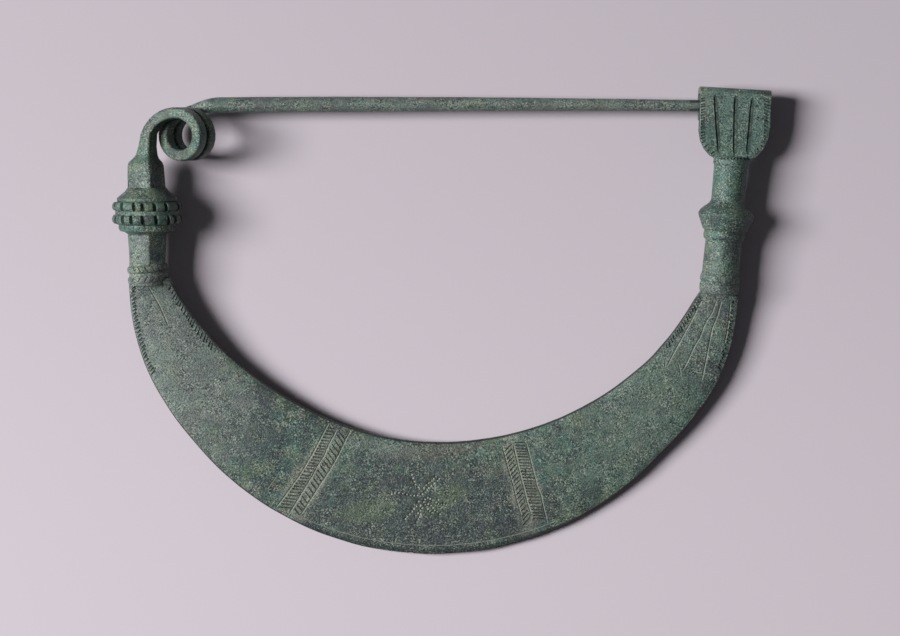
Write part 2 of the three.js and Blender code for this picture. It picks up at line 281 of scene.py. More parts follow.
class BroochSizes(bpy.types.PropertyGroup):
    """Sizes of the brooch."""

    bow_outer: length("Bow outer radius", "Radius of the bow's outer arc", 68)
    bow_inner: length("Bow inner radius", "Radius of the bow's inner arc", 66.8)
    collar_radius: length("Collar radius", "Radius of the two toothed rings", 7.7)
    cone_radius: length("Cone radius", "Widest radius of the catch arm's cone", 6.15)
    coil_radius: length("Coil radius", "Radius of the spring to the middle of its wire", 4.7)
    coil_turns: FloatProperty(name="Coil turns", description="Turns of the spring",
                              default=2.25, min=1, max=4)
    pin_radius: length("Pin radius", "Radius of the pin at its thickest", 1.7)
    plate_thickness: length("Plate thickness", "Thickness of the catch plate", 1.6)
    teeth: IntProperty(name="Teeth", description="File cuts round each toothed ring",
                       default=17, min=3, max=40)
    groove_width: length("Groove width", "Width of an engraved line", 0.34)


class PatinaColours(bpy.types.PropertyGroup):
    """Colours of the patina."""

    dark: colour("Dark bronze", "Bare dark bronze between the patches", (0.038, 0.060, 0.060))
    green: colour("Grey green", "Main grey-green patina", (0.094, 0.144, 0.118))
    teal: colour("Teal", "Bluish green patches", (0.055, 0.130, 0.108))
    olive: colour("Olive", "Yellowish green patches", (0.120, 0.160, 0.092))
    brown: colour("Brown", "Warm brown stains", (0.130, 0.112, 0.088))
    slate: colour("Slate", "Dark grey metal in the middle of the bow", (0.046, 0.056, 0.062))
    ash: colour("Ash", "Greyish crust towards the ends of the bow", (0.200, 0.225, 0.212))
    worn: colour("Worn metal", "Warm grey metal where the bands were engraved", (0.250, 0.262, 0.212))
    # This dark colour serves the dark grains and pits, and also the painted shade in the stroke
    # grooves and on the flat parts' edges
    soot_and_shade: colour("Dark grains", "Dark grains, pits and edges", (0.012, 0.017, 0.017))
    pale: colour("Pale speckle", "Pale mineral grains on the surface", (0.380, 0.430, 0.350))
    deposit: colour("Groove deposit", "Pale deposit in lines and dots", (0.450, 0.475, 0.410))


class StudioSettings(bpy.types.PropertyGroup):
    """Floor, light and camera."""

    floor: colour("Floor", "Colour of the floor", (0.575, 0.515, 0.568))
    key_power: FloatProperty(name="Key light", description="Power of the main soft light",
                             default=61, min=0, unit="POWER")
    fill: FloatProperty(name="Fill light", description="Strength of the light all round",
                        default=0.07, min=0)
    camera_height: length("Camera height", "Height of the camera above the floor", 700)
    view_width: length("View width", "Width of what the camera sees at the brooch", 198)


# ---- bow ----------------------------------------------------------------------------


def bow_station(t):
    """The bow's section at a share t of its length, from the left end to the right."""
    outer_at, inner_at = blend(*OUTER_SPAN, t), blend(*INNER_SPAN, t)
    outer = on_arc(swollen(sizes().bow_outer * MM, OUTER_SWELLINGS, outer_at), outer_at)
    inner = on_arc(swollen(sizes().bow_inner * MM, INNER_SWELLINGS, inner_at), inner_at)
    across = outer - inner - INNER_CENTRE
    to_end = min(t, 1 - t) * math.radians(OUTER_SPAN[1] - OUTER_SPAN[0]) * outer.length
    flare = 1 + END_FLARE * math.exp(-(to_end / END_FLARE_LENGTH) ** 2)
    return Station((*outer, 0), (*across, 0), (0, 0, 1), across.length, flare)


class BROOCH_OT_bow(bpy.types.Operator):
    """Extrude the bow's section along its crescent, then bevel and roughen it"""

    bl_idname = "brooch.bow"
    bl_label = "Bow"

    def execute(self, context):
        bow = flat_section("bow", BOW_PROFILE)
        run_section([bow_station(s / BOW_STATIONS) for s in range(BOW_STATIONS + 1)])
        pick(bow, lambda face: abs(face.normal.z) > 0.8 and len(face.verts) == 4, "faces")
        bpy.ops.mesh.subdivide(number_cuts=3)
        close_edit(bow)
        combine(bow, self.rim_cutter(), "DIFFERENCE")
        combine(bow, self.nick_cutter(), "DIFFERENCE")
        soften(bow, 0.28)
        roughen(bow, 0.22, 7.0)
        roughen(bow, 0.05, 1.4)
        return {"FINISHED"}

    def rim_cutter(self):
        """A wedge spun round a centre above the bow's own, so that its cut widens at the bottom."""
        wedge = flat_section("rim_cutter", ((60.9, 6.0), (84.07, -5.05), (84.07, 6.0)))
        turn((math.radians(90), 0, math.radians(209)), (0, 0, 0))
        bpy.ops.transform.translate(value=(0, 4.33, 0))
        bpy.ops.mesh.spin(steps=72, angle=-math.radians(122), center=(0, 4.33, 0), axis=(0, 0, 1))
        return close_edit(wedge)

    def nick_cutter(self):
        clear_hands()
        bpy.ops.mesh.primitive_ico_sphere_add(subdivisions=2, radius=1.1)
        nick = named("nick")
        bpy.ops.transform.resize(value=(1.1, 0.8, 1.6))
        bpy.ops.transform.translate(value=(*on_arc(68.6, 265.8), 0))
        return close_edit(nick)


def roughen(obj, depth, grain):
    """Push the surface in and out by a cloudy pattern of a given depth and grain in mm."""
    clouds = bpy.data.textures.new(f"hammering {grain}", "CLOUDS")
    clouds.noise_scale = grain
    clouds.noise_depth = 1
    add_modifier(obj, "DISPLACE", texture=clouds, texture_coords="LOCAL",
                 strength=depth, mid_level=0.5)


# ---- arms ---------------------------------------------------------------------------


def ring_of_cuts(name, count, radius, y, size, slant, uneven, seed):
    """File cuts round a ring: one block is shaped, then copied round the Y axis."""
    chance = random.Random(seed)
    clear_hands()
    bpy.ops.mesh.primitive_cube_add(size=1)
    first = named(name)
    bpy.ops.transform.resize(value=size)
    pick(first, lambda face: face.normal.z < -0.9, "faces")
    bpy.ops.transform.resize(value=(0.45, 0.9, 1))
    bpy.ops.mesh.select_all(action="SELECT")
    turn((0, 0, math.radians(slant)), (0, 0, 0))
    bpy.ops.transform.translate(value=(0, y, radius))
    close_edit(first)
    copies = []
    for k in range(count):
        cut = copy_of(first, f"{name}_{k}")
        place_object(cut, (0, k * 360 / count + chance.uniform(-uneven, uneven), 0),
                     (0, chance.uniform(-0.12, 0.12), 0))
        copies.append(cut)
    only(first)
    bpy.ops.object.delete()
    for cut in copies:
        cut.select_set(True)
    bpy.context.view_layer.objects.active = copies[0]
    bpy.ops.object.join()
    return copies[0]


def band_ring(name, radius, thickness, place, tilt):
    """A small ring with a rounded face, tilted to follow the end of the bow."""
    half = thickness / 2
    ring = turned(name, ((radius - 0.9, -half), (radius - 0.35, -half * 0.9), (radius, -half * 0.5),
                         (radius + 0.06, 0), (radius, half * 0.5), (radius - 0.35, half * 0.9),
                         (radius - 0.9, half)))
    place_object(ring, (0, 0, tilt), place)
    return ring


class BROOCH_OT_spring_arm(bpy.types.Operator):
    """Extrude the moulded arm that carries the spring, and file its toothed rings"""

    bl_idname = "brooch.spring_arm"
    bl_label = "Spring arm"

    def execute(self, context):
        collar = sizes().collar_radius * MM
        arm = turned("spring_arm", (
            (4.0, -8.2), (4.0, -3.4), (3.75, -3.2), (3.75, 2.6), (4.9, 3.4), (6.0, 3.7), (6.3, 4.4),
            (6.2, 5.0), (6.7, 5.2), (7.3, 5.35), (collar - 0.12, 5.75), (collar, 6.3),
            (collar - 0.12, 6.85), (7.3, 7.2), (7.0, 7.3), (7.0, 8.15), (7.3, 8.25),
            (collar - 0.12, 8.55), (collar, 9.05), (collar - 0.12, 9.6), (7.3, 9.95),
            (6.35, 10.15), (6.6, 10.3), (6.6, 10.9), (6.3, 11.15), (4.9, 12.3), (4.2, 13.2)), 64)
        for y, seed in ((6.3, 3), (9.1, 8)):
            cuts = ring_of_cuts("tooth_cut", sizes().teeth, collar, y, (1.45, 2.1, 2.1), 5, 5, seed)
            combine(arm, cuts, "DIFFERENCE")
        beads = ring_of_cuts("bead_cut", 30, 6.45, 4.6, (0.35, 1.6, 0.6), 6, 1.5, 5)
        combine(arm, beads, "DIFFERENCE")
        combine(arm, self.facets(), "UNION")
        place_object(arm, shift=(-62.8, 0, 0))
        for name, x, y, thickness, tilt in (("upper_band", -62.8, -4.6, 1.9, 6),
                                            ("lower_band", -62.7, -6.7, 2.1, 10)):
            ring = band_ring(name, 4.4, thickness, (x, y, 0), tilt)
            combine(arm, ring, "UNION")
        for y, slant, seed in ((-4.6, 38, 11), (-6.7, -34, 12)):
            cuts = ring_of_cuts("band_cut", 18, 4.45, y, (0.3, 1.5, 0.55), slant, 2, seed)
            place_object(cuts, shift=(-62.75, 0, 0))
            combine(arm, cuts, "DIFFERENCE")
        soften(arm, 0.1, 40)
        return {"FINISHED"}


    def facets(self):
        """The six-sided shaft between the collar and the small rings."""
        shaft = flat_section("shaft", [on_arc(1, 60 * k + 40) for k in range(6)])
        run_section([Station((0, y, 0), (1, 0, 0), (0, 0, -1), r, r)
                     for y, r in ((-3.6, 4.35), (-0.5, 4.5), (2.9, 4.75))])
        close_edit(shaft)
        soften(shaft, 0.3, 40)
        return shaft


class BROOCH_OT_catch_arm(bpy.types.Operator):
    """Extrude the leaning arm with its cone that carries the catch"""

    bl_idname = "brooch.catch_arm"
    bl_label = "Catch arm"

    def execute(self, context):
        cone = sizes().cone_radius * MM
        arm = turned("catch_arm", (
            (4.1, -0.4), (4.3, 0.4), (4.4, 1.6), (4.1, 2.1), (4.4, 2.5), (4.35, 3.6), (4.1, 4.1),
            (4.0, 11.4), (4.5, 11.8), (4.6, 12.9), (4.4, 13.4), (4.9, 13.8), (cone - 0.2, 16.3),
            (cone, 16.9), (cone - 0.05, 17.3), (cone - 0.4, 17.9), (4.8, 18.85), (4.5, 18.95),
            (3.9, 19.6), (3.6, 20.3), (3.7, 27.8), (3.95, 28.3), (3.9, 29.4),
            (3.5, 30.0)), 64)
        lean = math.degrees(math.atan2(65.75 - 63.05, 20 + 9.9))
        place_object(arm, (0, 0, -lean), (63.05, -9.9, 0))
        soften(arm, 0.14, 20)
        return {"FINISHED"}


# ---- strap, spring and pin ----------------------------------------------------------

STRAP_TURN = math.radians(28.5)
AXIAL = Vector((math.sin(STRAP_TURN), 0, -math.cos(STRAP_TURN)))
ACROSS = Vector((math.cos(STRAP_TURN), 0, math.sin(STRAP_TURN)))
UPWARDS = Vector((0, 1, 0))
COIL_CENTRE = Vector((-56.2, 24.9, 3.2))
COIL_STEPS = 26
COIL_PITCH = 3.7
PIN_HEIGHT = 31.25
PIN_TIP_X = 72.4
PIN_Z_AT_CATCH = -2.7


def coil_station(degrees):
    """The spring's section at an angle: it closes in at first and opens again to meet the pin."""
    angle = math.radians(degrees)
    settled = min(degrees / 90, 1)
    last = 360 * sizes().coil_turns
    close = sizes().coil_radius * MM
    radius = close + 1.9 * (1 - settled) ** 2 + 0.45 * smooth_step(last - 50, last, degrees)
    outward = -math.cos(angle) * ACROSS + math.sin(angle) * UPWARDS
    place = (COIL_CENTRE - ACROSS * (math.cos(angle) * radius * 1.05)
             + UPWARDS * (math.sin(angle) * radius) + AXIAL * (COIL_PITCH * degrees / 360))
    return Station(place, outward, AXIAL, blend(1.35, 1.2, settled), blend(1.7, 1.48, settled))


def pin_radius_at(x):
    """The pin swells past the spring and thins to its point."""
    swell, taper = smooth_step(-53, -47, x), smooth_step(-30, 66, x)
    body = blend(1.25, sizes().pin_radius * MM, swell) - 0.45 * taper
    return blend(body, 0.35, smooth_step(64, PIN_TIP_X, x))


class BROOCH_OT_spring_and_pin(bpy.types.Operator):
    """Extrude the block, strap, spring and pin as one drawn-out bar"""

    bl_idname = "brooch.spring_and_pin"
    bl_label = "Spring and pin"

    def execute(self, context):
        left = -ACROSS
        stations = [Station((x, y, 0), left, AXIAL, out, deep) for x, y, out, deep in (
            (-62.8, 11.8, 3.4, 3.4), (-63.05, 17.9, 3.2, 3.2), (-63.1, 18.7, 3.0, 3.0),
            (-63.0, 19.5, 2.3, 2.4), (-62.8, 20.3, 1.85, 2.05), (-62.6, 22.2, 1.5, 1.8))]
        steps = round(sizes().coil_turns * COIL_STEPS)
        stations += [coil_station(k * 360 / COIL_STEPS) for k in range(steps + 1)]
        clear_hands()
        bpy.ops.mesh.primitive_plane_add(size=2)
        spring = named("spring")
        bpy.ops.mesh.bevel(offset=0.34, affect="VERTICES", segments=2)
        bpy.ops.mesh.select_all(action="SELECT")
        run_section(stations)
        close_edit(spring)
        soften(spring, 0.12, 30)

        start = coil_station(steps * 360 / COIL_STEPS).place
        leave = Vector((start.x + 7, PIN_HEIGHT, start.z + 1.3))
        first, second = start + ACROSS * 1.6 + UPWARDS * 0.7, leave - Vector((3.5, 0, 0))
        tip = Vector((PIN_TIP_X, PIN_HEIGHT - 0.3, PIN_Z_AT_CATCH))
        path = []
        for k in range(13):
            t = k / 12
            path.append(start * (1 - t) ** 3 + first * (3 * t * (1 - t) ** 2)
                        + second * (3 * t * t * (1 - t)) + leave * t ** 3)
        for k in range(1, 61):
            t = k / 60
            place = leave.lerp(tip, t)
            place.y = leave.y + 0.3 * math.sin(math.pi * t) - 0.3 * t
            path.append(place)
        pin_stations = []
        for k, place in enumerate(path):
            ahead = path[min(k + 1, len(path) - 1)] - path[max(k - 1, 0)]
            wide = pin_radius_at(place.x)
            pin_stations.append(Station(place, UPWARDS - ahead * (ahead.y / ahead.length_squared),
                                        ahead.cross(UPWARDS), wide, wide))
        clear_hands()
        bpy.ops.mesh.primitive_circle_add(vertices=24, radius=1, fill_type="NGON")
        pin = named("pin")
        run_section(pin_stations)
        close_edit(pin)
        roughen(pin, 0.1, 3.5)
        return {"FINISHED"}


# ---- catch plate --------------------------------------------------------------------

PLATE_TOP = 35.05
PLATE_SLANT = 0.06
# the plate's outline in mm, round from its upper left corner
PLATE_OUTLINE = (
    (58.7, 33.4), (58.4, 25.6), (58.75, 23.4), (59.6, 21.6), (60.8, 20.2), (62.3, 19.3),
    (69.2, 18.9), (71.2, 19.9), (72.6, 21.4), (73.6, 23.5), (74.2, 26.4), (74.36, 32.5),
)
# side view of the fold from the plate's front over its top and down behind the pin: z and y
FOLD = ((0, -1.8), (0, -0.9), (-0.35, -0.55), (-1.2, -0.5), (-3.9, -0.75), (-4.75, -1.15),
        (-5.05, -2.0), (-4.95, -4.5), (-4.75, -7.2))
FLUTES = (((62.9, 20.6), (61.9, 33.6), 0.9), ((66.3, 20.2), (66.5, 33.4), 1.0),
          ((69.1, 20.4), (70.2, 32.9), 0.9))


class BROOCH_OT_catch_plate(bpy.types.Operator):
    """Extrude the catch plate, fold its top back into a hook and cut its flutes"""

    bl_idname = "brooch.catch_plate"
    bl_label = "Catch plate"

    def execute(self, context):
        thick = sizes().plate_thickness * MM
        plate = flat_section("catch_plate", PLATE_OUTLINE)
        bpy.ops.transform.translate(value=(0, 0, -thick / 2))
        bpy.ops.mesh.extrude_region_move(TRANSFORM_OT_translate={"value": (0, 0, thick)})
        close_edit(plate)
        soften(plate, 0.3, 50)
        middle, half = (58.7 + 74.37) / 2, (74.37 - 58.7) / 2
        stations = []
        for k, (z, y) in enumerate(FOLD):
            before, after = FOLD[max(k - 1, 0)], FOLD[min(k + 1, len(FOLD) - 1)]
            ahead = Vector((0, after[1] - before[1], after[0] - before[0])).normalized()
            across = Vector((1, -PLATE_SLANT, 0)).normalized()
            stations.append(Station(
                (middle, PLATE_TOP - PLATE_SLANT * half + y, z), across,
                -across.cross(ahead), half, 0.8 if k < 7 else 0.66))
        clear_hands()
        bpy.ops.mesh.primitive_plane_add(size=2)
        hook = named("hook")
        run_section(stations)
        close_edit(hook)
        soften(hook, 0.25, 50)
        combine(plate, hook, "UNION")
        for foot, tip, wide in FLUTES:
            cutter = self.flute_cutter(Vector(foot), Vector(tip), wide, thick / 2)
            combine(plate, cutter, "DIFFERENCE")
        return {"FINISHED"}

    def flute_cutter(self, foot, tip, wide, surface):
        """A keeled bar that fades at both ends."""
        along = (tip - foot).normalized()
        side = Vector((-along.y, along.x, 0))
        stations = []
        for t, size in ((0, 0.1), (0.06, 0.75), (0.14, 1), (0.84, 1), (0.94, 0.75), (1, 0.1)):
            place = foot.lerp(tip, t)
            stations.append(Station((*place, surface), side, (0, 0, 1), wide * size, 0.5 * size))
        cutter = flat_section("flute", ((-1.1, 0.6), (-0.5, 0), (-0.2, -0.85), (0.2, -0.85),
                                        (0.5, 0), (1.1, 0.6)))
        run_section(stations)
        return close_edit(cutter)


# ---- welding ------------------------------------------------------------------------


class BROOCH_OT_weld(bpy.types.Operator):
    """Weld the parts into the one piece that the brooch is"""

    bl_idname = "brooch.weld"
    bl_label = "Weld"

    def execute(self, context):
        brooch = bpy.data.objects["bow"]
        for name in ("spring_arm", "catch_arm", "spring", "pin", "catch_plate"):
            combine(brooch, bpy.data.objects[name], "UNION")
        brooch.name = brooch.data.name = PIECE
        return {"FINISHED"}


# ---- engraving ----------------------------------------------------------------------

LEFT_BAND = (
    ((-23.05, -38.8), (-24.15, -40.9), (-25.5, -43.5), (-26.8, -45.9), (-28.1, -48.1),
     (-29.7, -50.7), (-31.5, -53.2), (-33.3, -55.7), (-34.8, -57.6)),
    ((-21.2, -40.2), (-23.0, -43.5), (-24.2, -46.3), (-25.5, -48.2), (-26.6, -50.4),
     (-28.1, -52.8), (-29.6, -55.3), (-32.1, -59.4)),
    ((-18.2, -40.4), (-19.3, -42.5), (-20.5, -45.1), (-21.8, -47.5), (-23.3, -50.0),
     (-24.9, -52.3), (-26.4, -54.7), (-28.1, -57.4), (-29.3, -59.3)),
)
RIGHT_BAND = (
    ((15.2, -43.7), (15.9, -46.1), (16.7, -49.2), (17.7, -52.4), (18.6, -56.2), (19.6, -59.6)),
    ((17.7, -43.3), (18.3, -46.1), (19.1, -49.5), (20.1, -53.4), (20.9, -56.6), (21.8, -59.2)),
    ((20.6, -43.2), (21.4, -46.4), (22.2, -49.6), (23.0, -52.7), (23.8, -54.7), (24.6, -58.2),
     (25.3, -61.0)),
)
END_LINES = (
    ((-62.5, -8.6), (-61.3, -10.6), (-60.0, -12.9), (-59.1, -15.0), (-58.2, -17.2)),
    ((59.5, -11.2), (58.7, -12.7), (57.5, -15.15), (56.25, -17.6), (55.0, -19.8), (53.8, -21.95),
     (52.5, -24.4), (51.6, -26.3)),
    ((62.5, -11.4), (61.5, -14.4), (60.3, -16.2), (59.65, -17.6), (58.9, -19.8), (57.6, -21.9),
     (56.25, -24.9), (55.0, -27.35)),
    ((63.6, -11.4), (62.7, -15.0), (61.5, -17.9), (60.7, -22.25), (59.65, -27.66), (59.2, -29.7)),
    ((65.5, -11.8), (65.3, -15.5), (64.7, -19.5), (64.2, -21.7)),
    ((51.3, -24.6), (51.2, -26.8)),
    ((54.0, -25.2), (54.7, -28.1)),
)
PLATE_FORKS = (
    ((66.4, 33.9), (65.2, 32.6)), ((66.5, 33.9), (67.6, 32.7)), ((70.2, 33.3), (68.5, 31.9)),
    ((70.4, 33.3), (71.7, 32.1)), ((71.6, 33.6), (73.4, 32.8)), ((62.0, 33.9), (61.2, 33.2)),
)
FAINT_LINES = (
    ((-36.9, -53.7), (-35.3, -51.5), (-33.9, -49.5)), ((-58.9, -21.4), (-57.3, -23.0)),
    ((-59.4, -22.8), (-57.9, -24.2)), ((10.2, -43.9), (12.4, -43.6), (14.6, -43.8)),
)
# along the top of the worn rim, round the rim's own centre
RIM_CENTRE = Vector((0, 4.33))
RIM_LINE = tuple(tuple(on_arc(70.4, at) + RIM_CENTRE) for at in range(245, 294, 4))
# kinds of cut, as material places, and what each writes to the groove attribute
LINE, STROKE, DOT = 1, 2, 3
# strokes and dot rims (0.35) are darkened with painted groove shade and some dirt; lines (0.75) and
# dots (1.0) take the pale deposit
GROOVE_LEVELS = (0.0, 0.75, 0.35, 1.0)
ENGRAVING_SEED = 21
# depths of the cuts in mm, and how much narrower the fine lines are
LINE_DEPTH, STROKE_DEPTH, FINE_LINE_DEPTH, FINE_LINE_SHARE = 0.24, 0.22, 0.16, 0.6
# a punched dot has a shallow wide rim and a deep narrow core: width and depth in mm
DOT_RIM, DOT_CORE = (1.2, 0.2), (0.66, 0.34)
CUBE_CORNERS = 8
DOT_FACETS = 8
# the star's dots are laid out from its upper left corner, in small steps of this many mm
STAR_CORNER = (-11.66, -47.96)
STAR_STEP = 0.011924
STAR_DOTS = (
    (575, 190), (600, 250), (620, 315), (645, 375), (695, 420), (1020, 220), (980, 265),
    (945, 310), (890, 345), (840, 385), (800, 435), (1085, 265), (1050, 305), (990, 350),
    (935, 395), (885, 435), (860, 475), (825, 515), (200, 550), (260, 530), (335, 525),
    (405, 540), (485, 555), (550, 575), (620, 580), (685, 575), (775, 550), (870, 620),
    (820, 650), (915, 640), (700, 690), (660, 780), (615, 825), (580, 875), (535, 930),
    (485, 970), (460, 1015), (735, 765), (770, 810), (735, 860), (690, 905), (740, 925),
    (650, 955), (720, 975), (695, 1020), (675, 1070), (800, 700), (825, 750), (880, 735),
    (855, 790), (870, 830), (930, 765), (965, 805), (1000, 855), (1045, 880), (1100, 930),
    (910, 870), (950, 900), (960, 665), (1025, 705), (1070, 735), (1120, 745), (1170, 745),
    (1215, 755), (1070, 660), (1380, 680),
)


def height_at(obj, x, y):
    """Height of the front surface over a place."""
    hit, place, _normal, _face = obj.ray_cast(Vector((x, y, 30)), Vector((0, 0, -1)))
    if not hit:
        raise RuntimeError(f"nothing to engrave at {x:.1f}, {y:.1f}")
    return place.z


def on_bow(x, y, margin):
    """Whether a place is on the bow's front, at least a margin from both edges."""
    outer = sizes().bow_outer * MM
    at = math.degrees(math.atan2(y, x)) % 360
    inner = (Vector((x, y)) - INNER_CENTRE).length
    return (Vector((x, y)).length < swollen(outer, OUTER_SWELLINGS, at) - margin
            and inner > sizes().bow_inner * MM + margin)


def line_cutter(obj, points, width, depth):
    """A keeled bar that follows the surface along a line and fades at both ends."""
    path = []
    for a, b in zip(points, points[1:]):
        a, b = Vector(a), Vector(b)
        count = max(1, round((b - a).length / 0.9))
        path += [a.lerp(b, k / count) for k in range(count)]
    path.append(Vector(points[-1]))
    stations = []
    for k, place in enumerate(path):
        ahead = (path[min(k + 1, len(path) - 1)] - path[max(k - 1, 0)]).normalized()
        size = 0.3 if k in (0, len(path) - 1) else 1
        spot = Vector((place.x, place.y, height_at(obj, *place)))
        stations.append(Station(spot, (-ahead.y, ahead.x, 0), (0, 0, 1),
                                width * size, depth * size))
    cutter = flat_section("line", ((-1.5, 2), (-0.25, -0.9), (0.25, -0.9), (1.5, 2)))
    run_section(stations)
    return close_edit(cutter)


def stroke_cutters(obj, strokes, depth):
    """Short tapered cuts: one keeled block is shaped, then copied to each stroke's place."""
    clear_hands()
    bpy.ops.mesh.primitive_cube_add(size=1)
    cutters = named("strokes")
    pick(cutters, lambda face: face.normal.z < -0.9, "faces")
    bpy.ops.transform.resize(value=(0.8, 0.3, 1))
    bpy.ops.transform.translate(value=(0, 0, -0.4))
    pick(cutters, lambda face: face.normal.z > 0.9, "faces")
    bpy.ops.transform.resize(value=(1.15, 3.0, 1))
    bpy.ops.transform.translate(value=(0, 0, 1.5))
    for (x0, y0), (x1, y1), width in strokes:
        pick(cutters, lambda vertex: vertex.index < CUBE_CORNERS)
        bpy.ops.mesh.duplicate()
        long, high = math.dist((x0, y0), (x1, y1)), depth * (0.7 + width)
        bpy.ops.transform.resize(value=(long, width, high), center_override=(0, 0, 0))
        turn((0, 0, math.atan2(y1 - y0, x1 - x0)), (0, 0, 0))
        x, y = (x0 + x1) / 2, (y0 + y1) / 2
        bpy.ops.transform.translate(value=(x, y, height_at(obj, x, y)))
    pick(cutters, lambda vertex: vertex.index < CUBE_CORNERS)
    bpy.ops.mesh.delete(type="VERT")
    return close_edit(cutters)


def along(points, y):
    """Where a line of points crosses a height, extended at its ends."""
    for a, b in zip(points, points[1:]):
        if a[1] >= y >= b[1]:
            return blend(a[0], b[0], (y - a[1]) / (b[1] - a[1]))
    return points[0][0] if y > points[0][1] else points[-1][0]


def band_strokes(band, side, slope, step, reach, chance):
    """Slanting strokes between a band's middle line and one of its outlines."""
    spine, edge = band[1], band[0 if side < 0 else 2]
    strokes, y = [], spine[0][1] + 0.2
    while y > spine[-1][1] - 1.2:
        x0 = along(spine, y)
        run = abs(along(edge, y + slope * 1.2) - x0) * reach
        far = (x0 + side * run, y + run * slope)
        if on_bow(*far, 0.7) and on_bow(x0, y, 0.7):
            near = (x0 + side * 0.25, y + 0.25 * slope)
            strokes.append((near, far, 0.29 * chance.uniform(0.85, 1.15)))
        y -= step * chance.uniform(0.85, 1.15)
    return strokes


def edge_strokes(radius, centre, swellings, side, span, step, long, lean, chance):
    """Short hatching strokes along one edge of the bow; side is -1 inwards, 1 outwards."""
    strokes, at = [], span[0]
    while at < span[1]:
        root = on_arc(swollen(radius, swellings, at) + side * 0.35, at) + centre
        direction = Matrix.Rotation(math.radians(lean), 2) @ on_arc(1, at) * side
        far = root + direction * long * chance.uniform(0.7, 1.15)
        strokes.append((tuple(root), tuple(far), 0.42 * chance.uniform(0.8, 1.2)))
        at += math.degrees(step / radius) * chance.uniform(0.8, 1.2)
    return strokes


class BROOCH_OT_engraving(bpy.types.Operator):
    """Cut the engraved bands, lines, edge hatching and star of dots into the bow"""

    bl_idname = "brooch.engraving"
    bl_label = "Engraving"

    def execute(self, context):
        brooch = bpy.data.objects[PIECE]
        chance = random.Random(ENGRAVING_SEED)
        width = sizes().groove_width * MM
        none = Vector((0, 0))
        outer, inner = sizes().bow_outer * MM, sizes().bow_inner * MM
        strokes = band_strokes(LEFT_BAND, -1, 0.1, 0.66, 0.86, chance)
        strokes += band_strokes(LEFT_BAND, 1, -1.35, 0.94, 0.80, chance)
        strokes += band_strokes(RIGHT_BAND, -1, -1.1, 0.9, 0.92, chance)
        strokes += band_strokes(RIGHT_BAND, 1, -0.03, 0.66, 0.95, chance)
        strokes += edge_strokes(outer, none, OUTER_SWELLINGS, -1, (188, 205), 0.8, 1.3, 20, chance)
        strokes += edge_strokes(outer, none, OUTER_SWELLINGS, -1, (337, 350), 0.8, 1.3, -18, chance)
        strokes += edge_strokes(inner, INNER_CENTRE, INNER_SWELLINGS, 1, (208.5, 222), 0.85, 1.5, 30,
                                chance)
        strokes += edge_strokes(inner, INNER_CENTRE, INNER_SWELLINGS, 1, (318, 329), 0.75, 1.4, -28,
                                chance)
        strokes += self.plate_strokes(chance)
        self.cut(brooch, stroke_cutters(brooch, strokes, STROKE_DEPTH), STROKE)
        left, top = STAR_CORNER
        dots = [(x * STAR_STEP + left, top - y * STAR_STEP) for x, y in STAR_DOTS]
        # the dot rims are cut as strokes, so they take the same painted groove shade
        self.cut(brooch, self.dot_cutters(brooch, dots, *DOT_RIM, chance), STROKE)
        self.cut(brooch, self.dot_cutters(brooch, dots, *DOT_CORE, chance), DOT)
        for points in (*LEFT_BAND, *RIGHT_BAND, *END_LINES):
            self.cut(brooch, line_cutter(brooch, points, width, LINE_DEPTH), LINE)
        for points in (*PLATE_FORKS, *FAINT_LINES, RIM_LINE):
            cutter = line_cutter(brooch, points, width * FINE_LINE_SHARE, FINE_LINE_DEPTH)
            self.cut(brooch, cutter, LINE)
        return {"FINISHED"}

    def plate_strokes(self, chance):
        """File strokes along the catch plate's edges and round the top of its neck."""
        strokes = []
        for k in range(15):
            y = 32.6 - 0.62 * k + chance.uniform(-0.1, 0.1)
            strokes.append(((58.75, y), (59.85, y + 0.25), 0.34 * chance.uniform(0.8, 1.2)))
        for k in range(13):
            y = 31.8 - 0.7 * k + chance.uniform(-0.1, 0.1)
            strokes.append(((74.0 - 0.02 * k, y), (72.7, y + 0.5), 0.38 * chance.uniform(0.8, 1.2)))
        for x, y in ((59.1, 22.9), (59.6, 21.95), (60.3, 21.1), (61.1, 20.5)):
            strokes.append(((x, y), (x + 0.8, y + 0.6), 0.34))
        for x, y in ((73.5, 22.7), (72.9, 21.8), (72.1, 21.0)):
            strokes.append(((x, y), (x - 0.9, y + 0.7), 0.36))
        for k in range(9):
            x = 63.0 + 0.75 * k + chance.uniform(-0.1, 0.1)
            strokes.append(((x, 19.35), (x + 0.3, 20.05), 0.34))
        return strokes

    def cut(self, brooch, cutter, kind):
        """Cut with a cutter whose faces carry the material place of their kind."""
        for obj in (brooch, cutter):
            while len(obj.data.materials) < len(GROOVE_LEVELS):
                obj.data.materials.append(None)
        cutter.data.polygons.foreach_set("material_index", [kind] * len(cutter.data.polygons))
        combine(brooch, cutter, "DIFFERENCE")

    def dot_cutters(self, brooch, dots, wide, deep, chance):
        """Punched dots: one blunt cone is shaped, then copied to each place."""
        clear_hands()
        bpy.ops.mesh.primitive_cone_add(vertices=DOT_FACETS, radius1=0.12, radius2=0.5, depth=1)
        cutters = named("dots")
        for x, y in dots:
            pick(cutters, lambda vertex: vertex.index < 2 * DOT_FACETS)
            bpy.ops.mesh.duplicate()
            size = wide * chance.uniform(0.88, 1.12)
            bpy.ops.transform.resize(value=(size, size * chance.uniform(0.85, 1.1), deep),
                                     center_override=(0, 0, 0))
            bpy.ops.transform.translate(value=(x, y, height_at(brooch, x, y)))
        pick(cutters, lambda vertex: vertex.index < 2 * DOT_FACETS)
        bpy.ops.mesh.delete(type="VERT")
        return close_edit(cutters)


# ---- materials ----------------------------------------------------------------------


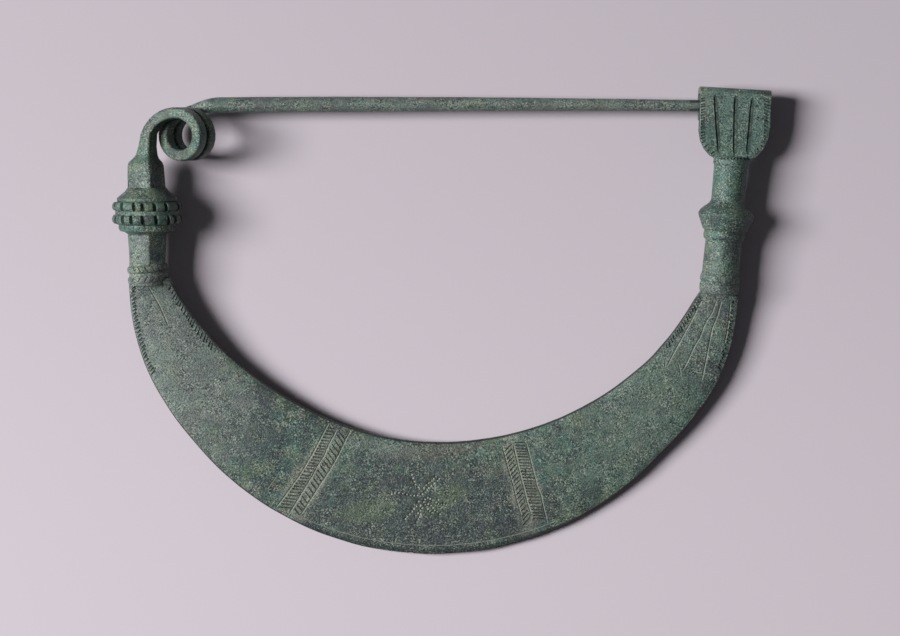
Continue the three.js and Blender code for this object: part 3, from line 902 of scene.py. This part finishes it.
class Value:
    """A number from a node, with the usual arithmetic."""

    def __init__(self, shader, socket):
        self.shader = shader
        self.socket = socket

    def _math(self, operation, *values):
        return self.shader.node("ShaderNodeMath", {"operation": operation}, dict(enumerate(values)))

    def __add__(self, other):
        return self._math("ADD", self, other)

    def __sub__(self, other):
        return self._math("SUBTRACT", self, other)

    def __rsub__(self, other):
        return self._math("SUBTRACT", other, self)

    def __mul__(self, other):
        return self._math("MULTIPLY", self, other)

    __radd__ = __add__
    __rmul__ = __mul__


class Shader:
    """A material under construction: one method makes any node."""

    def __init__(self, name):
        self.material = bpy.data.materials.new(name)
        self.material.use_nodes = True
        self.tree = self.material.node_tree
        self.surface = self.tree.nodes["Principled BSDF"]

    def node(self, kind, settings=None, inputs=None, output=0):
        made = self.tree.nodes.new(kind)
        for key, value in (settings or {}).items():
            if key == "stops":
                self._stops(made.color_ramp, value)
            else:
                setattr(made, key, value)
        for key, value in (inputs or {}).items():
            self.feed(made.inputs[key], value)
        return Value(self, made.outputs[output])

    def feed(self, socket, value):
        if isinstance(value, Value):
            self.tree.links.new(value.socket, socket)
        else:
            socket.default_value = value

    def _stops(self, ramp, stops):
        while len(ramp.elements) < len(stops):
            ramp.elements.new(1)
        for element, (place, level) in zip(ramp.elements, stops):
            element.position = place
            element.color = (level, level, level, 1)

    def noise(self, scale, detail=3, roughness=0.55, offset=0.0, place=None):
        spot = place or self.place
        if offset:
            spot = self.node("ShaderNodeVectorMath", {"operation": "ADD"},
                             {0: spot, 1: (offset, offset * 0.7, -offset)})
        return self.node("ShaderNodeTexNoise", {"noise_dimensions": "3D"},
                         {"Vector": spot, "Scale": scale, "Detail": detail,
                          "Roughness": roughness})

    def band(self, value, low, high):
        """0 below low, 1 above high, smooth between."""
        return self.node("ShaderNodeMapRange", {"interpolation_type": "SMOOTHSTEP"},
                         {"Value": value, "From Min": low, "From Max": high})

    def mix(self, share, a, b):
        """Mix two colours."""
        return self.node("ShaderNodeMix", {"data_type": "RGBA"},
                         {"Factor": share, 6: a, 7: b}, output=2)


def rgba(value):
    return (*value, 1)


STAINS = (
    # colour, share, x, y, half length, half width in mm, turned in degrees
    ("slate", 0.75, -1.0, -57.5, 27, 11, 0), ("slate", 0.60, -41.0, -39.0, 9, 8, -45),
    ("ash", 0.50, -56.0, -23.0, 23, 12, -66), ("ash", 0.30, 60.0, -17.0, 11, 8, 75),
    ("ash", 0.35, 66.5, 27.0, 10, 10, 0), ("ash", 0.40, 8.0, 31.0, 62, 3, 0),
    ("ash", 0.25, 45.0, -38.0, 9, 8, 50), ("green", 0.45, 45.0, -38.0, 20, 9, 50),
    ("teal", 0.55, 66.5, 22.0, 15, 9, 80),
    ("worn", 0.60, -26.8, -50.5, 12, 3.6, 60), ("worn", 0.60, 19.9, -52.0, 10.5, 3.4, 104),
    ("olive", 0.50, 3.0, -55.5, 5, 2.2, 35), ("olive", 0.45, -14.5, -58.0, 7, 2.6, 10),
    ("brown", 0.45, 1.0, -44.3, 9, 2.4, 5), ("ash", 0.30, -12.0, -43.8, 8, 2.0, -8),
)


def stain(s, x, y, long, wide, turned_by):
    """How much of a soft, frayed stain lies at a place on the bronze."""
    spot = s.node("ShaderNodeMapping", {"vector_type": "TEXTURE"}, {
        "Vector": s.place, "Rotation": (0, 0, math.radians(turned_by)),
        "Location": ((x + LYING_PLACE[0]) / MM, (y + LYING_PLACE[1]) / MM, 0),
        "Scale": (long / MM, wide / MM, 1)})
    reach = s.node("ShaderNodeVectorMath", {"operation": "LENGTH"}, {0: spot}, output=1)
    return s.band(reach + s.fray, 1.55, 0.85)


def patina(colours):
    """Dark bronze under a mottled green crust with pale and dark grains, with painted shade in the
    strokes and on the flat parts' edges.
    """
    s = Shader("patinated bronze")
    s.place = s.node("ShaderNodeTexCoord", output=3)
    broad = s.noise(100, 4, 0.65)
    teal = s.band(s.noise(190, 4, 0.65, 0.11), 0.47, 0.60)
    olive = s.band(s.noise(220, 4, 0.65, 0.37), 0.50, 0.63)
    brown = s.band(s.noise(230, 4, 0.65, 0.71), 0.54, 0.67)
    slate = s.band(s.noise(115, 4, 0.65, 0.93), 0.48, 0.60)
    mottle = s.noise(520, 3, 0.6, 0.05)
    grain = s.noise(2500, 2, 0.75, 0.21)
    crumbs = s.noise(4200, 1, 0.5, 0.51)
    s.fray = s.noise(260, 4, 0.65, 0.83) * 1.6 - 0.6
    groove = s.node("ShaderNodeAttribute", {"attribute_name": "groove"}, output=2)
    # the side attribute carries painted shade, partly darker edge patina, on the flat parts' edge
    # walls and rim bevel
    side = s.node("ShaderNodeAttribute", {"attribute_name": "side"}, output=2)

    base = s.mix(s.band(broad + mottle * 0.5 - 0.25, 0.36, 0.62),
                 rgba(colours.dark), rgba(colours.green))
    base = s.mix(teal * 0.7, base, rgba(colours.teal))
    base = s.mix(olive * 0.6, base, rgba(colours.olive))
    base = s.mix(brown * 0.55, base, rgba(colours.brown))
    base = s.mix(slate * 0.7, base, rgba(colours.slate))
    for name, share, *where in STAINS:
        base = s.mix(stain(s, *where) * share, base, rgba(getattr(colours, name)))

    gritty = grain + crumbs * 0.7 + mottle * 0.25 - 0.475
    pale, pits = s.band(gritty, 0.50, 0.74), s.band(gritty, 0.50, 0.28)
    crusty = s.band(s.noise(310, 3, 0.6, 0.63), 0.36, 0.62)
    base = s.mix(pale * (0.24 + 0.56 * crusty), base, rgba(colours.pale))
    base = s.mix(pits * (0.55 + 0.42 * crusty), base, rgba(colours.soot_and_shade))
    # painted shade, with some dirt, in the grooves of the strokes and dot rims
    stroke_shade_and_dirt = s.band(groove, 0.1, 0.3) * (1 - s.band(groove, 0.4, 0.6))
    filled = s.band(groove, 0.5, 1.0)
    base = s.mix(stroke_shade_and_dirt * 0.5, base, rgba(colours.soot_and_shade))
    base = s.mix(filled * 0.68, base, rgba(colours.deposit))
    # painted shade, partly darker edge patina: darken the flat parts' edge walls and the rim bevel
    base = s.mix(side * 0.75, base, rgba(colours.soot_and_shade))
    s.feed(s.surface.inputs["Base Color"], base)
    s.feed(s.surface.inputs["Metallic"], 0.15)
    s.feed(s.surface.inputs["Specular IOR Level"], 0.35)
    s.feed(s.surface.inputs["Roughness"], 0.38 + 0.2 * mottle + 0.15 * pale + 0.2 * filled)
    relief = mottle * 0.5 + gritty
    s.feed(s.surface.inputs["Normal"],
           s.node("ShaderNodeBump", None, {"Strength": 0.8, "Distance": 0.00016, "Height": relief}))
    return s.material


# painted shade: the floor's colour is scaled by this towards the back
BACK_PAINTED_SHADE = 0.84


def floor_paint(colour_value):
    """Matt paint, with painted shade that makes it a little darker towards the back."""
    s = Shader("floor paint")
    s.place = s.node("ShaderNodeTexCoord", output=3)
    back = s.node("ShaderNodeSeparateXYZ", None, {0: s.place}, output=1)
    s.feed(s.surface.inputs["Base Color"],
           s.mix(s.band(back, -0.08, 0.10), rgba(colour_value),
                 rgba([level * BACK_PAINTED_SHADE for level in colour_value])))
    s.feed(s.surface.inputs["Roughness"], 0.9)
    return s.material


class BROOCH_OT_finish(bpy.types.Operator):
    """Mark the grooves and the painted edge shade, smooth the shading, lay the brooch down and give it
    its patina
    """

    bl_idname = "brooch.finish"
    bl_label = "Lay down and patinate"

    def execute(self, context):
        brooch = bpy.data.objects[PIECE]
        mesh = brooch.data
        grooves = [GROOVE_LEVELS[face.material_index] for face in mesh.polygons]
        # painted shade, partly darker edge patina, on the flat parts' edges, kept in the side
        # attribute
        edge_shades = [self.painted_edge_shade(face) for face in mesh.polygons]
        mesh.attributes.new("groove", "FLOAT", "FACE").data.foreach_set("value", grooves)
        mesh.attributes.new("side", "FLOAT", "FACE").data.foreach_set("value", edge_shades)
        mesh.polygons.foreach_set("material_index", [0] * len(grooves))
        mesh.materials.clear()
        mesh.materials.append(patina(context.scene.patina_colours))
        only(brooch)
        bpy.ops.transform.resize(value=(1 / MM,) * 3, center_override=(0, 0, 0))
        turn((0, math.radians(LEAN_SIDE), 0), (0, 0, 0))
        turn((math.radians(LEAN_BACK), 0, 0), (0, 0, 0))
        bpy.ops.transform.translate(value=[place / MM for place in LYING_PLACE])
        bpy.ops.object.transform_apply(location=True, rotation=True, scale=True)
        bpy.ops.object.shade_smooth_by_angle(angle=math.radians(38))
        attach(brooch, "root")
        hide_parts("fibula")
        return {"FINISHED"}

    def painted_edge_shade(self, face):
        """Painted shade, partly darker edge patina: 1 on the flat parts' narrow edges and 0 on their
        fronts.
        """
        flat_part = (face.center.y < (-8.5 if face.center.x < 0 else -10.6)
                     or (face.center.x > 57.5 and 20.3 < face.center.y < 33.3))
        if not flat_part or face.material_index:
            return 0.0
        # the bow's rim bevel gets 0.6 of painted shade, partly darker edge patina
        rim = 0.6 if face.center.y < -45 and 0.86 < face.normal.z < 0.935 else 0
        return max(rim, 1 - smooth_step(0.76, 0.93, face.normal.z))


# ---- stage --------------------------------------------------------------------------

KEY_PLACE, KEY_SIZE = (-1.46, 0.13, 1.36), (0.62, 1.0)
SURROUND_COLOUR = (0.93, 0.95, 1.0, 1)
CAMERA_OVER = (0.0018, 0.0007)
# the height over the floor at which the view is as wide as the setting says
SHARP_HEIGHT = 0.007


class BROOCH_OT_stage(bpy.types.Operator):
    """Lay the floor, set the soft light and hang the camera overhead"""

    bl_idname = "brooch.stage"
    bl_label = "Stage"

    def execute(self, context):
        studio = context.scene.studio_settings
        clear_hands()
        bpy.ops.mesh.primitive_plane_add(size=6)
        floor = named("floor")
        bpy.ops.mesh.subdivide(number_cuts=7)
        bpy.ops.object.mode_set(mode="OBJECT")
        floor.data.materials.append(floor_paint(studio.floor))

        self.lamp("key light", KEY_PLACE, KEY_SIZE, studio.key_power)
        world = bpy.data.worlds.new("soft surround")
        world.use_nodes = True
        background = world.node_tree.nodes["Background"]
        background.inputs["Color"].default_value = SURROUND_COLOUR
        background.inputs["Strength"].default_value = studio.fill
        context.scene.world = world
        context.scene.view_settings.view_transform = "Standard"

        bpy.ops.object.camera_add(location=(*CAMERA_OVER, studio.camera_height),
                                  rotation=(0, 0, 0))
        camera = context.object
        camera.name = "overhead camera"
        reach = studio.camera_height - SHARP_HEIGHT
        camera.data.lens = camera.data.sensor_width * reach / studio.view_width
        camera.data.dof.use_dof = False
        context.scene.camera = camera
        return {"FINISHED"}

    def lamp(self, name, place, size, power):
        bpy.ops.object.light_add(type="AREA", location=place)
        lamp = bpy.context.object
        lamp.name = name
        lamp.data.shape = "RECTANGLE"
        lamp.data.size, lamp.data.size_y = size
        lamp.data.energy = power
        lamp.rotation_euler = (-Vector(place)).to_track_quat("-Z", "Y").to_euler()


# ---- panel and registration ---------------------------------------------------------

STEPS = (BROOCH_OT_bow, BROOCH_OT_spring_arm, BROOCH_OT_catch_arm, BROOCH_OT_spring_and_pin,
         BROOCH_OT_catch_plate, BROOCH_OT_weld, BROOCH_OT_engraving, BROOCH_OT_finish,
         BROOCH_OT_stage)
GROUPS = {"brooch_sizes": BroochSizes, "patina_colours": PatinaColours,
          "studio_settings": StudioSettings}


class BROOCH_PT_panel(bpy.types.Panel):
    """Lists the sizes, the colours and the steps of the brooch"""

    bl_idname = "BROOCH_PT_panel"
    bl_label = "Fibula Brooch"
    bl_space_type = "VIEW_3D"
    bl_region_type = "UI"
    bl_category = "Brooch"

    def draw(self, context):
        for group in GROUPS:
            box = self.layout.box()
            settings = getattr(context.scene, group)
            for name in settings.__annotations__:
                box.prop(settings, name)
        for step in STEPS:
            self.layout.operator(step.bl_idname)


def register():
    for made in (*GROUPS.values(), *STEPS, BROOCH_PT_panel):
        bpy.utils.register_class(made)
    for name, group in GROUPS.items():
        setattr(bpy.types.Scene, name, PointerProperty(type=group))


def unregister():
    for name in GROUPS:
        delattr(bpy.types.Scene, name)
    for made in reversed((*GROUPS.values(), *STEPS, BROOCH_PT_panel)):
        bpy.utils.unregister_class(made)


def main():
    register()
    for step in STEPS:
        group, name = step.bl_idname.split(".")
        getattr(getattr(bpy.ops, group), name)()


if __name__ == "__main__":
    main()
